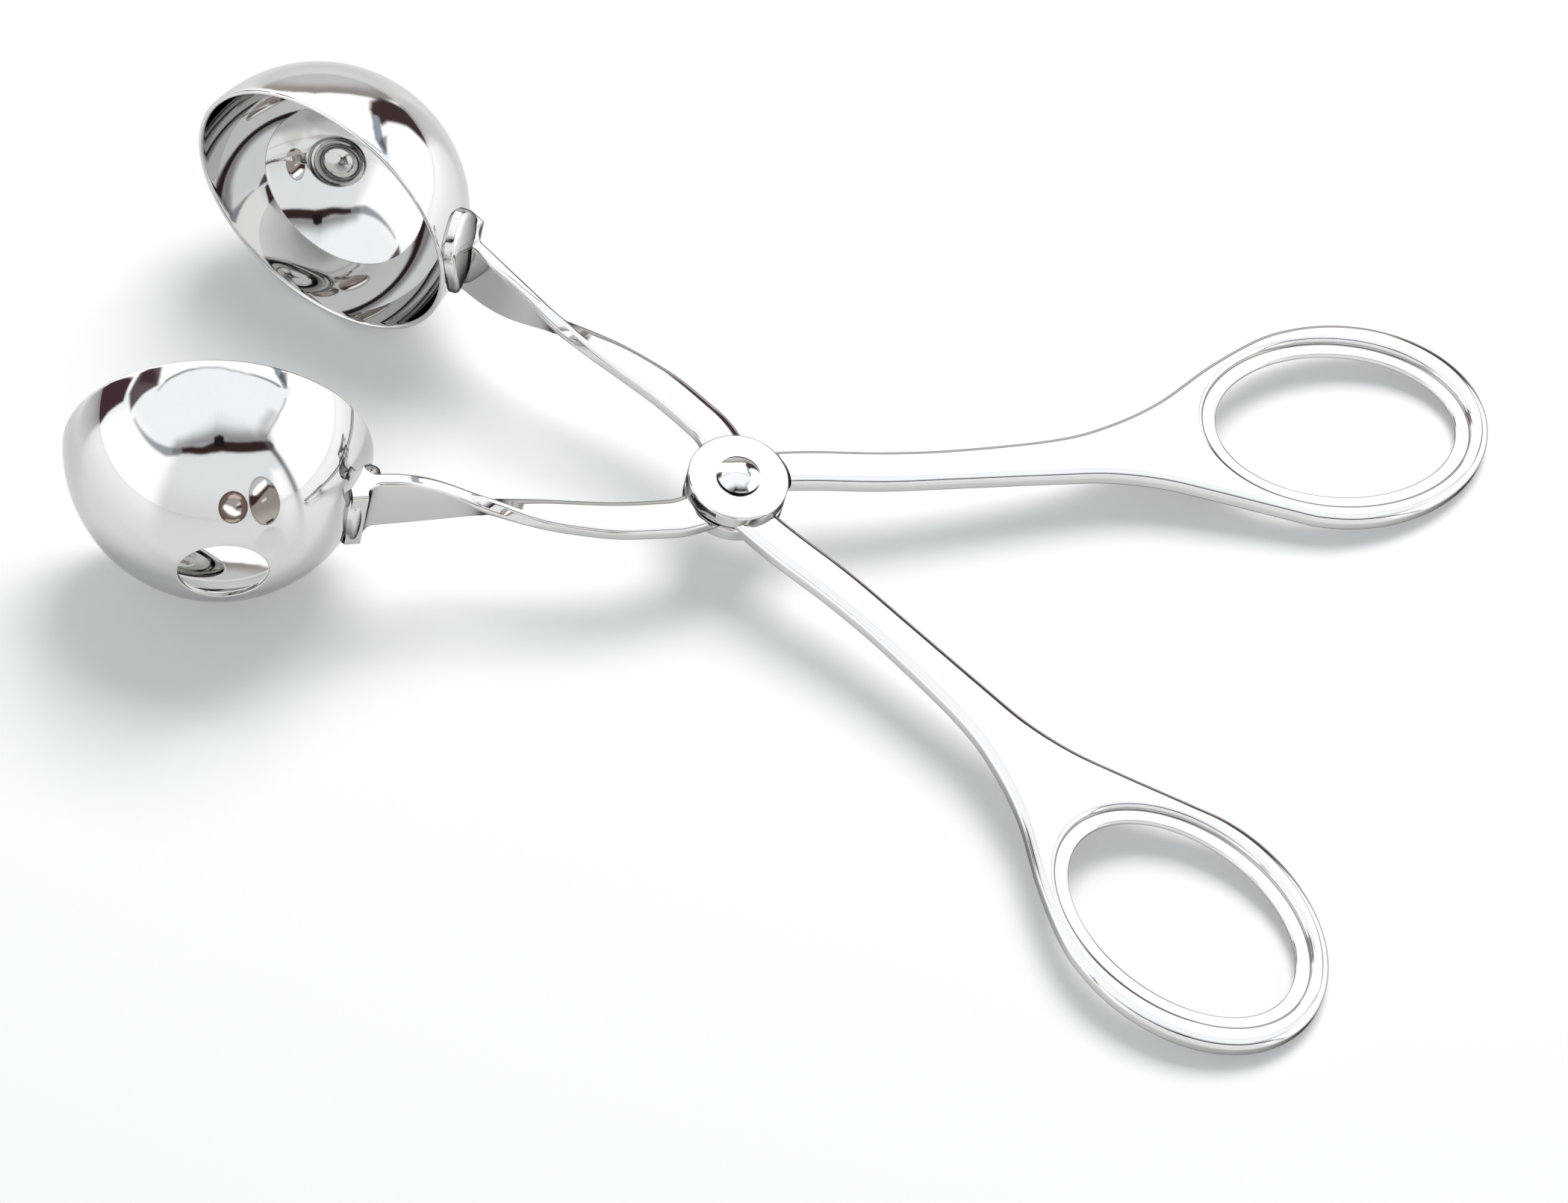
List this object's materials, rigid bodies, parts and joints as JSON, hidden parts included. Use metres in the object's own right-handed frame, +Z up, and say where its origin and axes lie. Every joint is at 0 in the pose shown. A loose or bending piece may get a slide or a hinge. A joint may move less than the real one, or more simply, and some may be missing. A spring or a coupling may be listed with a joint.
{
  "type": "meatball tongs",
  "caption": "Steel meatball tongs: crossed scissor levers on one rivet, finger rings at one end and facing half-ball cups with a hole at the pole at the other.",
  "frame": {"origin": "middle of the bounding box's base, on the surface that the tongs lie on", "axes": "+X from the pivot towards the finger rings, +Z up, the two cups face each other along Y"},
  "size_m": [0.1944, 0.1298, 0.0445],
  "materials": {
    "lower_lever_steel": "polished stainless steel",
    "upper_lever_steel": "polished stainless steel",
    "lower_cup_steel": "mirror-polished stainless steel",
    "upper_cup_steel": "mirror-polished stainless steel",
    "pivot_rivet_steel": "polished stainless steel"
  },
  "bodies": {
    "lower_half": {"lower_lever": "lower_lever_steel", "lower_cup": "lower_cup_steel", "pivot_rivet": "pivot_rivet_steel"},
    "upper_half": {"upper_lever": "upper_lever_steel", "upper_cup": "upper_cup_steel"}
  },
  "joints": [
    {"name": "pivot", "type": "hinge", "parent": "lower_half", "child": "upper_half", "pos_m": [-0.00487, 0, 0.01372], "axis": [0.1197, 0, 0.9928], "range_deg": [-34, 35]}
  ]
}
